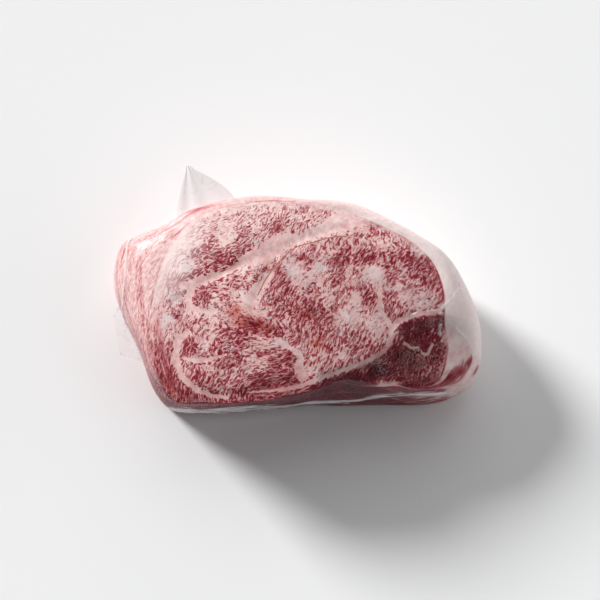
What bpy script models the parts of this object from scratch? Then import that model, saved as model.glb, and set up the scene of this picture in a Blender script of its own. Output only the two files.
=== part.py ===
"""A boneless beef rib roast sealed in a clear shrink bag, lying on its lower cut face.

The roast and the bag drawn tight round it are one closed solid out to the film, with the two
welded bag corners that stand off its left end. Metres, +Z up; the origin is on the table, under
the middle of the solid's box. +X is the roast's length and -Y its front.
"""

import math

import bmesh
import bpy
import numpy as np
from mathutils import Vector

MM = 0.001
CROWN_HEIGHT = 96 * MM
CENTRE = np.array([0.0, -10.0]) * MM

# The rim of the upper cut face: x, y and height in millimetres, counterclockwise.
RIM = (
    (112, -25, 82), (112, -5, 84), (106, 19, 85), (91, 36, 86), (71, 48, 87), (46, 59, 88),
    (17, 66, 89), (-19, 68, 89), (-53, 65, 89), (-80, 55, 88), (-98, 35, 87), (-109, 8, 86),
    (-115, -16, 85), (-116, -42, 85), (-110, -67, 86), (-97, -90, 88), (-70, -92.5, 89),
    (-38, -91.5, 90), (-8, -87, 91), (16, -80, 90), (38, -72.5, 88), (72, -75.5, 79),
    (104, -73, 72), (115, -49, 75),
)
# The widest line of the sides, which bulges out below the rim, the same way.
BELT = (
    (143, -14, 35), (133, 11, 40), (118, 33, 46), (97, 47, 52), (66, 64, 56), (28, 75, 58),
    (-22, 79, 58), (-58, 77, 55), (-90, 68, 50), (-110, 57, 46), (-130, 52, 42), (-147, 43, 38),
    (-151, 18, 34), (-145, -6, 28), (-131, -36, 20), (-120, -64, 12), (-106, -81, 8),
    (-86, -85, 6), (-46, -85, 6), (8, -79, 7), (60, -79, 7), (106, -78, 9), (131, -70, 17),
    (142, -55, 24), (145, -36, 30),
)
SHOULDER_FULLNESS = 0.62  # how far the side keeps going up and out before it turns onto the face
LEAST_SHOULDER = 3 * MM
BELT_SHARE = 0.3  # the share of the side's rows that lies below the belt
ROUND_HANDLE = 0.55  # handle of a Bezier quarter round, as a share of its radius

# The underside ends inside the belt, further in where the belt is high.
BASE_INSET = 2.5 * MM
BASE_INSET_PER_HEIGHT = 0.22

# Fat seams between the muscles, which lie a little lower than the meat: x and y in millimetres.
CAP_SEAM = ((-99, -13), (-84, -4), (-68, 5), (-48, 14), (-30, 23), (-9, 33), (9, 40), (32, 47))
EYE_SEAM = ((0, 34), (-16, 24), (-26, 9), (-33, -7), (-37, -24), (-29, -39))
LEFT_SEAM = ((-104, -36), (-98, -51), (-93, -65), (-84, -79), (-66, -86), (-42, -85), (-12, -76))
SEAM_DEPTH = 1.3 * MM
SEAM_WIDTH = 4.0 * MM

# The eye muscle ends along this line and the side muscle beyond it sits lower.
STEP_LINE = ((30, -74), (46, -66), (61, -58), (71, -47), (77, -35), (92, -28), (116, -22))
STEP_DROP = 5.0 * MM
STEP_WIDTH = 9.0 * MM
STEP_FADE_IN = (30 * MM, 75 * MM)  # along the roast's length

SWELL = 1.4 * MM  # the soft unevenness of the sides
SWELL_WAVES = ((5, 3, 1.0), (9, -4, 0.0))  # waves round the side, turn with height, start
DOME_POWER = 2.6

# Grid of the solid: squares along each side of the face, and rows up the side.
FACE_SQUARES = 34
SIDE_ROWS = 14
GRID_FLATTENING = 0.5  # turns the grid's four corners towards the roast's own corners

# The welded corners of the bag.
CORNER_ROOT_THICKNESS = 2.6 * MM
CORNER_TIP_THICKNESS = 1.3 * MM
CORNER_WAIST = 0.10  # how much narrower a corner is half way along, as a share of its width
PLEAT_WAVES = 1.5
PLEAT_LEFT_AT_TIP = 0.4
CORNER_SQUARES = 12
CORNER_LAYERS = 2


def remove_start_objects():
    for obj in list(bpy.data.objects):
        bpy.data.objects.remove(obj, do_unlink=True)


def smooth_line(points, closed, steps=16):
    """A Catmull-Rom curve through the points, as an array of rows."""
    points = np.array(points, float)
    count = len(points)
    rows = []
    for i in range(count if closed else count - 1):
        if closed:
            a, b, c, d = (points[(i + k) % count] for k in (-1, 0, 1, 2))
        else:
            a, b, c, d = (points[min(max(i + k, 0), count - 1)] for k in (-1, 0, 1, 2))
        for t in np.arange(steps) / steps:
            rows.append(0.5 * (2 * b + (c - a) * t + (2 * a - 5 * b + 4 * c - d) * t**2
                               + (3 * b - a - 3 * c + d) * t**3))
    if not closed:
        rows.append(points[-1])
    return np.array(rows)


def ring(points):
    """Radius and height of a closed outline as functions of the angle about CENTRE."""
    line = smooth_line(points, closed=True) * MM
    across = line[:, :2] - CENTRE
    angle = np.arctan2(across[:, 1], across[:, 0])
    order = np.argsort(angle)
    angle, radius, height = angle[order], np.hypot(*across.T)[order], line[order, 2]

    def at(theta):
        theta = (theta + math.pi) % (2 * math.pi) - math.pi
        return (
            np.interp(theta, angle, radius, period=2 * math.pi),
            np.interp(theta, angle, height, period=2 * math.pi),
        )

    return at


RIM_RING = ring(RIM)
BELT_RING = ring(BELT)


def distance_to(line, x, y):
    """Distance from a point to an open line, positive on the line's left."""
    best, side = 1e9, 1.0
    for (ax, ay), (bx, by) in zip(line[:-1], line[1:]):
        dx, dy = bx - ax, by - ay
        along = ((x - ax) * dx + (y - ay) * dy) / (dx * dx + dy * dy)
        along = min(max(along, 0.0), 1.0)
        gap = math.hypot(x - ax - along * dx, y - ay - along * dy)
        if gap < best:
            best = gap
            side = 1.0 if dx * (y - ay) - dy * (x - ax) >= 0 else -1.0
    return best * side


SEAMS = [smooth_line(seam, closed=False, steps=6) * MM for seam in (CAP_SEAM, EYE_SEAM, LEFT_SEAM)]
STEP = smooth_line(STEP_LINE, closed=False, steps=6) * MM


def smoothstep(low, high, value):
    """Rises softly from 0 at low to 1 at high."""
    t = min(max((value - low) / (high - low), 0.0), 1.0)
    return t * t * (3 - 2 * t)


def face_relief(x, y):
    """How far the upper cut face stands above or below its dome."""
    relief = 0.0
    for seam in SEAMS:
        gap = abs(distance_to(seam, x, y))
        relief -= SEAM_DEPTH * math.exp(-((gap / SEAM_WIDTH) ** 2))
    beyond = -distance_to(STEP, x, y)
    fade = smoothstep(*STEP_FADE_IN, x)
    relief -= STEP_DROP * fade * smoothstep(-STEP_WIDTH / 3, STEP_WIDTH, beyond)
    return relief


def side_swell(theta, up):
    """Unevenness of the sides, which dies out at the table and at the rim."""
    waves = [math.sin(count * theta + turn * up + start) for count, turn, start in SWELL_WAVES]
    return SWELL * sum(waves) / len(waves) * math.sin(math.pi * up)


def bezier(a, b, c, d, t):
    """A point on the cubic Bezier curve from a to d with the handles b and c."""
    s = 1 - t
    return a * s**3 + 3 * b * s**2 * t + 3 * c * s * t**2 + d * t**3


def face_point(theta, reach):
    """A point of the upper cut face: reach is 0 at its middle and 1 at its rim."""
    radius, rim_height = RIM_RING(theta)
    x = CENTRE[0] + radius * reach * math.cos(theta)
    y = CENTRE[1] + radius * reach * math.sin(theta)
    height = rim_height + (CROWN_HEIGHT - rim_height) * (1 - reach**DOME_POWER)
    return Vector((x, y, height + face_relief(x, y)))


def side_point(theta, up):
    """A point of the side: up is 0 at the table and 1 at the rim."""
    belt, belt_height = BELT_RING(theta)
    base = belt - BASE_INSET - BASE_INSET_PER_HEIGHT * belt_height
    radius, height = RIM_RING(theta)
    slope = DOME_POWER * (CROWN_HEIGHT - height) / radius
    if up < BELT_SHARE:
        t = up / BELT_SHARE
        r = bezier(base, base + ROUND_HANDLE * (belt - base), belt, belt, t)
        z = bezier(0.0, 0.0, (1 - ROUND_HANDLE) * belt_height, belt_height, t)
    else:
        t = (up - BELT_SHARE) / (1 - BELT_SHARE)
        out = max(SHOULDER_FULLNESS * (belt - radius), LEAST_SHOULDER)
        lift = SHOULDER_FULLNESS * (height - belt_height)
        r = bezier(belt, belt, radius + out, radius, t)
        z = bezier(belt_height, belt_height + lift, height - out * slope, height, t)
    r += side_swell(theta, up)
    rim_relief = face_point(theta, 1.0).z - height
    z += rim_relief * smoothstep(2 * BELT_SHARE, 1.0, up)
    return Vector((CENTRE[0] + r * math.cos(theta), CENTRE[1] + r * math.sin(theta), z))


def base_point(theta, reach):
    """A point of the flat underside."""
    edge = side_point(theta, 0.0)
    return Vector((CENTRE[0] + (edge.x - CENTRE[0]) * reach,
                   CENTRE[1] + (edge.y - CENTRE[1]) * reach, 0.0))


def is_upright(edge):
    return abs(edge.verts[0].co.z - edge.verts[1].co.z) > 1.0


def gridded_cube(across, up):
    """A cube from -1 to 1 whose top and base are cut into squares and whose sides into rows."""
    bm = bmesh.new()
    bmesh.ops.create_cube(bm, size=2.0)
    level = [edge for edge in bm.edges if not is_upright(edge)]
    bmesh.ops.subdivide_edges(bm, edges=level, cuts=across - 1, use_grid_fill=True)
    upright = [edge for edge in bm.edges if is_upright(edge)]
    bmesh.ops.subdivide_edges(bm, edges=upright, cuts=up - 1, use_grid_fill=True)
    return bm


def roast_point(cube):
    """Carries a point of the gridded cube onto the roast."""
    a, b, c = cube
    disc = Vector((a * math.sqrt(1 - b * b / 2), b * math.sqrt(1 - a * a / 2)))
    theta = math.atan2(disc.y * GRID_FLATTENING, disc.x)
    if abs(c) < 1 - 1e-4:
        return side_point(theta, (c + 1) / 2)
    if c > 0:
        return face_point(theta, min(disc.length, 1.0))
    return base_point(theta, min(disc.length, 1.0))


def mesh_object(name, bm, collection):
    """Turns a bmesh into an object of the collection, with its faces pointing out."""
    bmesh.ops.recalc_face_normals(bm, faces=bm.faces)
    mesh = bpy.data.meshes.new(name)
    bm.to_mesh(mesh)
    bm.free()
    obj = bpy.data.objects.new(name, mesh)
    collection.objects.link(obj)
    return obj


def roast_body(name, collection):
    """The meat with the film drawn tight round it, from its flat underside to its domed face."""
    bm = gridded_cube(FACE_SQUARES, SIDE_ROWS)
    for vert in bm.verts:
        vert.co = roast_point(vert.co)
    return mesh_object(name, bm, collection)


def bag_corner(name, root, tip, pleat, collection):
    """A welded corner of the bag: a thin fin from the two root points to the two tip points."""
    root_a, root_b = (Vector(p) * MM for p in root)
    tip_a, tip_b = (Vector(p) * MM for p in tip)
    normal = (root_b - root_a).cross(tip_a - root_a).normalized()
    bm = gridded_cube(CORNER_SQUARES, CORNER_LAYERS)
    for vert in bm.verts:
        across, along = (vert.co.x + 1) / 2, (vert.co.y + 1) / 2
        place = root_a.lerp(root_b, across).lerp(tip_a.lerp(tip_b, across), along)
        place += (root_b - root_a) * CORNER_WAIST * (0.5 - across) * math.sin(math.pi * along)
        fold = pleat * math.sin(2 * math.pi * PLEAT_WAVES * across)
        fold *= 1 - (1 - PLEAT_LEFT_AT_TIP) * along
        thickness = CORNER_ROOT_THICKNESS * (1 - along) + CORNER_TIP_THICKNESS * along
        vert.co = place + normal * (fold + vert.co.z * thickness / 2)
    return mesh_object(name, bm, collection)


def join(body, piece):
    """Adds a piece to the body, which then holds both as one solid."""
    union = body.modifiers.new("join_" + piece.name, "BOOLEAN")
    union.operation = "UNION"
    union.solver = "EXACT"
    union.object = piece
    piece.hide_render = True
    piece.display_type = "WIRE"


def centre_on_table(body):
    """Moves the finished solid so that the origin is under the middle of its box."""
    bpy.context.view_layer.update()
    graph = bpy.context.evaluated_depsgraph_get()
    mesh = bpy.data.meshes.new_from_object(body.evaluated_get(graph))
    body.modifiers.clear()
    body.data = mesh
    points = np.array([v.co for v in mesh.vertices])
    middle = (points.min(axis=0) + points.max(axis=0)) / 2
    for vert in mesh.vertices:
        vert.co.x -= middle[0]
        vert.co.y -= middle[1]


def sealed_meat_material():
    material = bpy.data.materials.new("marbled_beef_under_film")
    material.use_nodes = True
    shader = material.node_tree.nodes["Principled BSDF"]
    shader.inputs["Base Color"].default_value = (0.50, 0.22, 0.22, 1.0)
    shader.inputs["Roughness"].default_value = 0.28
    shader.inputs["Metallic"].default_value = 0.0
    return material


def build():
    """Makes the roast: its body, joined with the two welded corners of the bag."""
    remove_start_objects()
    scene = bpy.context.scene
    roast = bpy.data.collections.new("beef_rib_roast")
    helpers = bpy.data.collections.new("helpers")
    scene.collection.children.link(roast)
    scene.collection.children.link(helpers)
    body = roast_body("sealed_rib_roast", roast)
    join(body, bag_corner(
        "back_corner",
        root=((-97, 46, 52), (-50, 66, 56)),
        tip=((-92, 108, 62), (-87, 106, 63)),
        pleat=2.0 * MM,
        collection=helpers,
    ))
    join(body, bag_corner(
        "left_corner",
        root=((-140, 12, 30), (-124, -46, 18)),
        tip=((-151, -8, 26), (-146, -38, 15)),
        pleat=0.8 * MM,
        collection=helpers,
    ))
    centre_on_table(body)
    body.data.materials.clear()
    body.data.materials.append(sealed_meat_material())
    body.data.shade_smooth()


build()
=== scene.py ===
"""A raw, marbled beef rib roast sealed in a clear shrink bag, on a pale table in soft light.

The meat is one piece and the film drawn tight round it another, with the bag's two welded corners
beside it. Shapes are worked out in the roast's own plan, in millimetres, and then moved onto the
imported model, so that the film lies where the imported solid's surface is.
"""
import math

import bmesh
import bpy
import numpy as np
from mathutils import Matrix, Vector


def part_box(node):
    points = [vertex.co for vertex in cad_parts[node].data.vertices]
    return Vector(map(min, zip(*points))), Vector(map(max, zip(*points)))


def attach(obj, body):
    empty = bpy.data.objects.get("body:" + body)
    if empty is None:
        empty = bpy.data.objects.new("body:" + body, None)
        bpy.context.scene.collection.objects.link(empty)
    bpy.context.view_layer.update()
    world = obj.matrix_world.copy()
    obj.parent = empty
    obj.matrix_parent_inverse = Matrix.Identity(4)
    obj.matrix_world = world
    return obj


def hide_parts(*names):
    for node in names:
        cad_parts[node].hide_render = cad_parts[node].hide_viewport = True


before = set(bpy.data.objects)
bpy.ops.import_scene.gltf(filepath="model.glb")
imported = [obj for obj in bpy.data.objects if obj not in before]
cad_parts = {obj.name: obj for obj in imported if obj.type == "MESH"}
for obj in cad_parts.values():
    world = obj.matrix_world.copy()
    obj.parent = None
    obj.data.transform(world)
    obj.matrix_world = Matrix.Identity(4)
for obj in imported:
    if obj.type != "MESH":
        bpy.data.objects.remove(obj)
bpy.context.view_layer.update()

MM = 0.001
ROOT = "root"
SEALED = "sealed_rib_roast"

# ---- The roast's shape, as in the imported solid: x, y and height in millimetres ----

CROWN_HEIGHT = 96.0
CENTRE = np.array([0.0, -10.0])
RIM = (
    (112, -25, 82), (112, -5, 84), (106, 19, 85), (91, 36, 86), (71, 48, 87), (46, 59, 88),
    (17, 66, 89), (-19, 68, 89), (-53, 65, 89), (-80, 55, 88), (-98, 35, 87), (-109, 8, 86),
    (-115, -16, 85), (-116, -42, 85), (-110, -67, 86), (-97, -90, 88), (-70, -92.5, 89),
    (-38, -91.5, 90), (-8, -87, 91), (16, -80, 90), (38, -72.5, 88), (72, -75.5, 79),
    (104, -73, 72), (115, -49, 75),
)
BELT = (
    (143, -14, 35), (133, 11, 40), (118, 33, 46), (97, 47, 52), (66, 64, 56), (28, 75, 58),
    (-22, 79, 58), (-58, 77, 55), (-90, 68, 50), (-110, 57, 46), (-130, 52, 42), (-147, 43, 38),
    (-151, 18, 34), (-145, -6, 28), (-131, -36, 20), (-120, -64, 12), (-106, -81, 8),
    (-86, -85, 6), (-46, -85, 6), (8, -79, 7), (60, -79, 7), (106, -78, 9), (131, -70, 17),
    (142, -55, 24), (145, -36, 30),
)
SHOULDER_FULLNESS = 0.62
LEAST_SHOULDER = 3.0
BELT_SHARE = 0.3
ROUND_HANDLE = 0.55
BASE_INSET = 2.5
BASE_INSET_PER_HEIGHT = 0.22
DOME_POWER = 2.6
SWELL = 1.4
SWELL_WAVES = ((5, 3, 1.0), (9, -4, 0.0))
GRID_FLATTENING = 0.5

CAP_SEAM = ((-99, -13), (-84, -4), (-68, 5), (-48, 14), (-30, 23), (-9, 33), (9, 40), (32, 47))
EYE_SEAM = ((0, 34), (-16, 24), (-26, 9), (-33, -7), (-37, -24), (-29, -39))
LEFT_SEAM = ((-104, -36), (-98, -51), (-93, -65), (-84, -79), (-66, -86), (-42, -85), (-12, -76))
FILM_SEAM_DEPTH = 0.4
MEAT_SEAM_DEPTH = 0.7
SEAM_WIDTH = 4.0
STEP_LINE = ((30, -74), (46, -66), (61, -58), (71, -47), (77, -35), (92, -28), (116, -22))
STEP_DROP = 5.0
STEP_WIDTH = 9.0
STEP_FADE_IN = (30.0, 75.0)

# ---- The meat's muscles: points of the cut face, in millimetres of the roast's plan ----
# Each muscle has its coarseness and how net-like its marbling is. Each of its points has x, y,
# the angle of the fibres in degrees, the share of lean meat, its darkness and its moist haze.

MUSCLES = {
    "cap": (0.25, 0.0, (
        (-97, 3, 40, 0.67, 0.52, 0.2), (-98, 18, 70, 0.37, 0.12, 0.0), (-90, 34, 45, 0.35, 0.10, 0.0),
        (-82, 26, 35, 0.57, 0.45, 0.1), (-88, 17, 20, 0.37, 0.40, 0.8), (-80, 8, 25, 0.69, 0.54, 0.0),
        (-84, 47, 30, 0.37, 0.10, 0.0), (-70, 27, 10, 0.65, 0.50, 0.2), (-62, 16, 15, 0.71, 0.60, 0.2),
        (-66, 51, 15, 0.41, 0.18, 0.0), (-58, 38, 10, 0.21, 0.20, 0.0), (-52, 20, 30, 0.69, 0.58, 0.2),
        (-52, 30, 10, 0.59, 0.50, 0.5), (-45, 62, 35, 0.41, 0.14, 0.0), (-42, 28, 20, 0.65, 0.56, 0.4),
        (-36, 38, 20, 0.59, 0.50, 0.6), (-34, 50, 40, 0.45, 0.30, 0.0), (-18, 48, 30, 0.63, 0.52, 0.2),
        (-22, 60, 60, 0.43, 0.20, 0.0), (0, 56, 50, 0.47, 0.28, 0.1), (4, 45, 45, 0.51, 0.40, 0.4),
        (15, 60, 40, 0.49, 0.30, 0.1), (18, 52, 35, 0.45, 0.35, 0.4),
    )),
    "chain": (0.5, 0.0, (
        (-44, 12, 5, 0.42, 0.25, 0.0), (-54, 5, 0, 0.58, 0.35, 0.0), (-44, 1, 0, 0.52, 0.35, 0.0),
        (-64, -2, 10, 0.52, 0.35, 0.1), (-76, -6, 60, 0.68, 0.60, 0.5), (-58, -12, 15, 0.52, 0.38, 0.0),
        (-45, -12, 20, 0.38, 0.30, 0.0), (-82, -26, 40, 0.50, 0.40, 0.0), (-52, -24, 30, 0.46, 0.40, 0.1),
    )),
    "left_end": (0.2, 0.0, (
        (-98, -6, 80, 0.50, 0.50, 0.9), (-97, -20, 85, 0.62, 0.65, 0.5), (-103, -26, 90, 0.35, 0.50, 1.0),
        (-99, -38, 85, 0.45, 0.50, 0.9), (-112, -20, 90, 0.42, 0.42, 0.0), (-113, -38, 90, 0.50, 0.50, 0.0),
        (-110, -48, 90, 0.62, 0.58, 0.1), (-106, -60, 90, 0.68, 0.62, 0.2), (-101, -73, 90, 0.70, 0.66, 0.1),
        (-92, -85, 90, 0.72, 0.78, 0.0), (-70, -90, 90, 0.70, 0.75, 0.0), (-42, -86, 90, 0.76, 0.80, 0.0),
    )),
    "lower_muscle": (0.6, 0.0, (
        (-72, -30, 35, 0.50, 0.40, 0.1), (-86, -48, 65, 0.70, 0.58, 0.0), (-74, -43, 50, 0.40, 0.35, 0.2),
        (-66, -52, 45, 0.70, 0.60, 0.1), (-78, -56, 60, 0.55, 0.50, 0.2), (-85, -66, 80, 0.64, 0.55, 0.1),
        (-72, -64, 40, 0.56, 0.50, 0.1), (-60, -64, 35, 0.66, 0.55, 0.0), (-74, -76, 40, 0.62, 0.52, 0.1),
        (-60, -77, 35, 0.56, 0.48, 0.0), (-48, -58, 60, 0.70, 0.60, 0.0), (-46, -72, 40, 0.52, 0.42, 0.1),
        (-36, -50, 35, 0.50, 0.42, 0.1), (-34, -64, 40, 0.50, 0.42, 0.1), (-24, -56, 25, 0.52, 0.45, 0.3),
        (-20, -66, 30, 0.64, 0.55, 0.1), (-12, -62, 40, 0.72, 0.62, 0.0), (-42, -36, 25, 0.74, 0.62, 0.1),
        # Painted shade: the last two points darken the strip along the front edge, where shade falls.
        (-56, -34, 30, 0.64, 0.52, 0.1), (-28, -77, 10, 0.74, 0.85, 0.0), (-12, -76, 15, 0.76, 0.85, 0.0),
    )),
    "eye": (0.7, 0.0, (
        (8, 28, 75, 0.49, 0.35, 0.1), (28, 31, 85, 0.59, 0.45, 0.0), (48, 35, 95, 0.57, 0.45, 0.0),
        (70, 44, 95, 0.49, 0.40, 0.0), (84, 38, 110, 0.52, 0.45, 0.1), (95, 33, 100, 0.42, 0.50, 0.6),
        (6, 19, 60, 0.67, 0.60, 0.1), (30, 19, 75, 0.71, 0.72, 0.1), (52, 22, 80, 0.75, 0.66, 0.0),
        (66, 32, 90, 0.47, 0.35, 0.0), (68, 21, 70, 0.67, 0.60, 0.1), (86, 24, 65, 0.69, 0.62, 0.1),
        (98, 20, 60, 0.69, 0.60, 0.1), (100, 6, 55, 0.67, 0.58, 0.0), (90, 10, 60, 0.61, 0.52, 0.2),
        (14, 12, 60, 0.32, 0.50, 0.8), (-4, 9, 60, 0.32, 0.45, 0.8), (56, 9, 70, 0.27, 0.45, 0.9),
        (42, 5, 75, 0.52, 0.50, 0.4), (30, 4, 85, 0.59, 0.55, 0.3), (72, 14, 65, 0.63, 0.58, 0.2),
        (78, 3, 50, 0.49, 0.50, 0.5), (88, -12, 40, 0.49, 0.50, 0.8), (98, -6, 45, 0.53, 0.50, 0.3),
        (-15, 4, 60, 0.63, 0.60, 0.1), (-14, -13, 95, 0.63, 0.60, 0.2), (2, -14, 110, 0.65, 0.64, 0.1),
        (-18, -30, 95, 0.59, 0.52, 0.1), (0, -30, 105, 0.61, 0.58, 0.1), (6, -43, 95, 0.63, 0.50, 0.0),
        (-10, -36, 95, 0.61, 0.54, 0.0), (12, -22, 70, 0.67, 0.74, 0.1), (24, -10, 78, 0.49, 0.45, 0.3),
        (24, -24, 68, 0.63, 0.66, 0.1), (36, -24, 68, 0.31, 0.40, 0.7), (48, -32, 66, 0.47, 0.45, 0.4),
        (30, -42, 64, 0.61, 0.48, 0.0), (46, -44, 62, 0.59, 0.45, 0.0), (28, -57, 62, 0.59, 0.42, 0.0),
        (14, -60, 64, 0.53, 0.38, 0.0), (50, -52, 60, 0.59, 0.45, 0.0), (56, -34, 66, 0.33, 0.42, 0.8),
        (54, -12, 80, 0.73, 0.55, 0.0), (67, -12, 75, 0.63, 0.52, 0.2), (72, -22, 60, 0.59, 0.52, 0.2),
        (72, -36, 62, 0.51, 0.45, 0.1), (44, -20, 70, 0.42, 0.45, 0.3), (80, -8, 45, 0.47, 0.50, 0.5),
    )),
    "side_muscle": (0.35, 1.0, (
        (82, -36, 60, 0.86, 0.80, 0.1), (95, -36, 60, 0.90, 0.90, 0.0), (104, -34, 60, 0.84, 0.74, 0.1),
        (78, -54, 60, 0.95, 1.00, 0.1), (90, -56, 60, 0.92, 0.95, 0.0), (104, -52, 60, 0.90, 0.92, 0.0),
        (102, -64, 60, 0.72, 0.70, 0.0), (112, -62, 60, 0.60, 0.60, 0.1), (66, -58, 60, 0.80, 0.90, 0.5),
    )),
}

# Fat seams: x, y and half-width along each, in millimetres.
FAT_SEAMS = {
    "cap": ((-93, 0, 1.5), (-85, 1, 4.5), (-78, 4, 4), (-69, 6.5, 3), (-60, 8.5, 2), (-50, 14.5, 2),
            (-42, 20, 4), (-31, 23, 8), (-20, 31, 8), (-10, 37, 6), (0, 37, 3.6), (10, 41, 4.2),
            (20, 46, 6), (33, 52, 9), (44, 56, 10), (54, 60, 8)),
    "chain_pocket": ((-84, 2, 3.4), (-85, -5, 3), (-86, -12, 2.2), (-84, -17, 2.2), (-76, -20, 1.5),
                     (-66, -21, 1.8)),
    "eye_left": ((-22, 9, 2.4), (-29, 1, 3.6), (-35, -6, 4), (-38, -14, 3.2), (-37, -22, 2),
                 (-28, -23, 2.4)),
    "left_band": ((-86, -36, 1.6), (-93, -43, 2.6), (-95.5, -52, 2.8), (-95, -60, 2.5), (-92, -68, 2),
                  (-86, -76, 2), (-78, -82, 1.8), (-68, -86, 1.5), (-56, -88, 1)),
    "lower_threads": ((-90, -57, 1), (-78, -59.5, 1.6), (-66, -58, 1.2), (-56, -55, 0.7)),
    "eye_lower": ((-16, -44, 1.6), (-8, -50, 2), (0, -56, 2.4), (-1, -64, 3.6), (2, -72, 4.4)),
    "front_edge": ((-40, -84, 0.6), (-14, -82, 1.3), (0, -79, 1.9), (12, -75, 1.8), (24, -70, 1.7),
                   (36, -65.5, 1.6), (48, -61, 1.5), (58, -56, 1.6), (66, -50, 1.8), (70, -42, 2.0),
                   (71, -34, 2.0), (77, -28, 2.0), (86, -24, 1.8), (96, -21, 1.8), (110, -19, 2.2)),
    "eye_middle": ((62, 2, 1.2), (62, -9, 2.2), (61, -17, 2.4), (65, -25, 2.0), (70, -31, 2.0)),
    "eye_pocket": ((40, -6, 1), (44, -10, 3.4), (46, -14, 1.5)),
}
# The thin brown line where the eye's sheath shows, and the white thread in the side muscle.
SHEATH_LINE = ((-33, -9), (-31, -5), (-26, 5.5), (-17, 17), (-11, 24), (-1.5, 31), (10, 34), (19.5, 37.4),
               (29, 39), (38, 40), (46, 43))
SIDE_THREAD = ((80, -43.5), (83, -44.5), (87, -47), (92, -46), (94, -50), (99, -51), (101, -47), (104, -42))

# Spots of x, y and radius on the cut face, in millimetres.
FROST = (
    (-9, 12, 5), (4, -3, 4), (16, 13, 5), (20, 21, 3), (-5, 24, 2.5), (-9, 21, 3), (-26, -10, 3.5),
    (-88, 17, 5), (-103, -25, 5), (-97, -10, 5), (-62, -21, 4), (-56, -28, 3.5), (-54, -50, 5),
    (-84, -61, 4), (-74, -51, 3.5), (-27, -24, 5), (-14, -46, 5), (0, -52, 5), (-26, 2, 3),
    (-3, 10, 4.5), (14, 13, 4), (22, 25, 3), (54, 11, 4.5), (61, 5, 4), (49, 4, 3), (80, 12, 3.5),
    (92, 27, 3.5), (36, -26, 4), (44, -20, 3), (56, -28, 4), (63, -21, 3), (30, -37, 4), (97, -12, 6),
    (62, -62, 3.5), (70, -4, 3), (-36, 36, 4),
)
BLOOD = (
    (-106, -75, 5), (-101, -83, 5), (80, -70, 4), (-51, -22, 7), (-44, -28, 7), (-31, -32, 7),
    (-24, -36, 5), (14, -47, 6), (4, -24, 5),
)

CURVE_STEPS = 6  # pieces that a curve is cut into between two of its points
OUTLINE_STEPS = 16
END_SLACK = 0.02  # share of a piece by which a point may lie past a line's end and still be beside it
FAR = 9.0  # millimetres from a line, where it no longer shows
FLAT = 1 - 1e-4  # height in the cube from which a point belongs to its top


def smooth_line(points, closed, steps):
    """A Catmull-Rom curve through the points, as an array of rows."""
    points = np.array(points, float)
    count = len(points)
    rows = []
    for i in range(count if closed else count - 1):
        if closed:
            a, b, c, d = (points[(i + k) % count] for k in (-1, 0, 1, 2))
        else:
            a, b, c, d = (points[min(max(i + k, 0), count - 1)] for k in (-1, 0, 1, 2))
        for t in np.arange(steps) / steps:
            rows.append(0.5 * (2 * b + (c - a) * t + (2 * a - 5 * b + 4 * c - d) * t**2
                               + (3 * b - a - 3 * c + d) * t**3))
    if not closed:
        rows.append(points[-1])
    return np.array(rows)


def smoothstep(low, high, value):
    t = np.clip((value - low) / (high - low), 0.0, 1.0)
    return t * t * (3 - 2 * t)


def ring(points):
    """Radius and height of a closed outline, as a function of angles about CENTRE."""
    line = smooth_line(points, closed=True, steps=OUTLINE_STEPS)
    across = line[:, :2] - CENTRE
    angle = np.arctan2(across[:, 1], across[:, 0])
    order = np.argsort(angle)
    angle, radius, height = angle[order], np.hypot(*across.T)[order], line[order, 2]

    def at(theta):
        return (np.interp(theta, angle, radius, period=2 * math.pi),
                np.interp(theta, angle, height, period=2 * math.pi))

    return at


rim_at = ring(RIM)
belt_at = ring(BELT)


def along_line(line, x, y):
    """Distance to an open line, positive on its left, whether a point is beside it, and its widths."""
    line = np.array(line, float)
    best = np.full(x.shape, 1e9)
    signed, beside, width = best.copy(), np.zeros(x.shape, bool), np.zeros(x.shape)
    for a, b in zip(line[:-1], line[1:]):
        dx, dy = b[0] - a[0], b[1] - a[1]
        t = ((x - a[0]) * dx + (y - a[1]) * dy) / (dx * dx + dy * dy)
        held = np.clip(t, 0.0, 1.0)
        gap = np.hypot(x - a[0] - held * dx, y - a[1] - held * dy)
        nearer = gap < best
        best = np.where(nearer, gap, best)
        left = dx * (y - a[1]) - dy * (x - a[0]) >= 0
        signed = np.where(nearer, np.where(left, gap, -gap), signed)
        beside = np.where(nearer, (t > -END_SLACK) & (t < 1 + END_SLACK), beside)
        if line.shape[1] > 2:
            width = np.where(nearer, a[2] + (b[2] - a[2]) * held, width)
    return signed, beside, width


def along_curve(points, x, y):
    return along_line(smooth_line(points, closed=False, steps=CURVE_STEPS), x, y)


def face_relief(x, y, seam_depth):
    """How far the upper cut face stands above or below its dome."""
    relief = np.zeros(x.shape)
    for seam in (CAP_SEAM, EYE_SEAM, LEFT_SEAM):
        gap, _, _ = along_curve(seam, x, y)
        relief -= seam_depth * np.exp(-((gap / SEAM_WIDTH) ** 2))
    gap, _, _ = along_curve(STEP_LINE, x, y)
    fade = smoothstep(*STEP_FADE_IN, x)
    return relief - STEP_DROP * fade * smoothstep(-STEP_WIDTH / 3, STEP_WIDTH, -gap)


def bezier(a, b, c, d, t):
    s = 1 - t
    return a * s**3 + 3 * b * s**2 * t + 3 * c * s * t**2 + d * t**3


def face_point(theta, reach, seam_depth=FILM_SEAM_DEPTH):
    radius, rim_height = rim_at(theta)
    x = CENTRE[0] + radius * reach * np.cos(theta)
    y = CENTRE[1] + radius * reach * np.sin(theta)
    height = rim_height + (CROWN_HEIGHT - rim_height) * (1 - reach**DOME_POWER)
    return np.stack([x, y, height + face_relief(x, y, seam_depth)], axis=-1)


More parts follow.
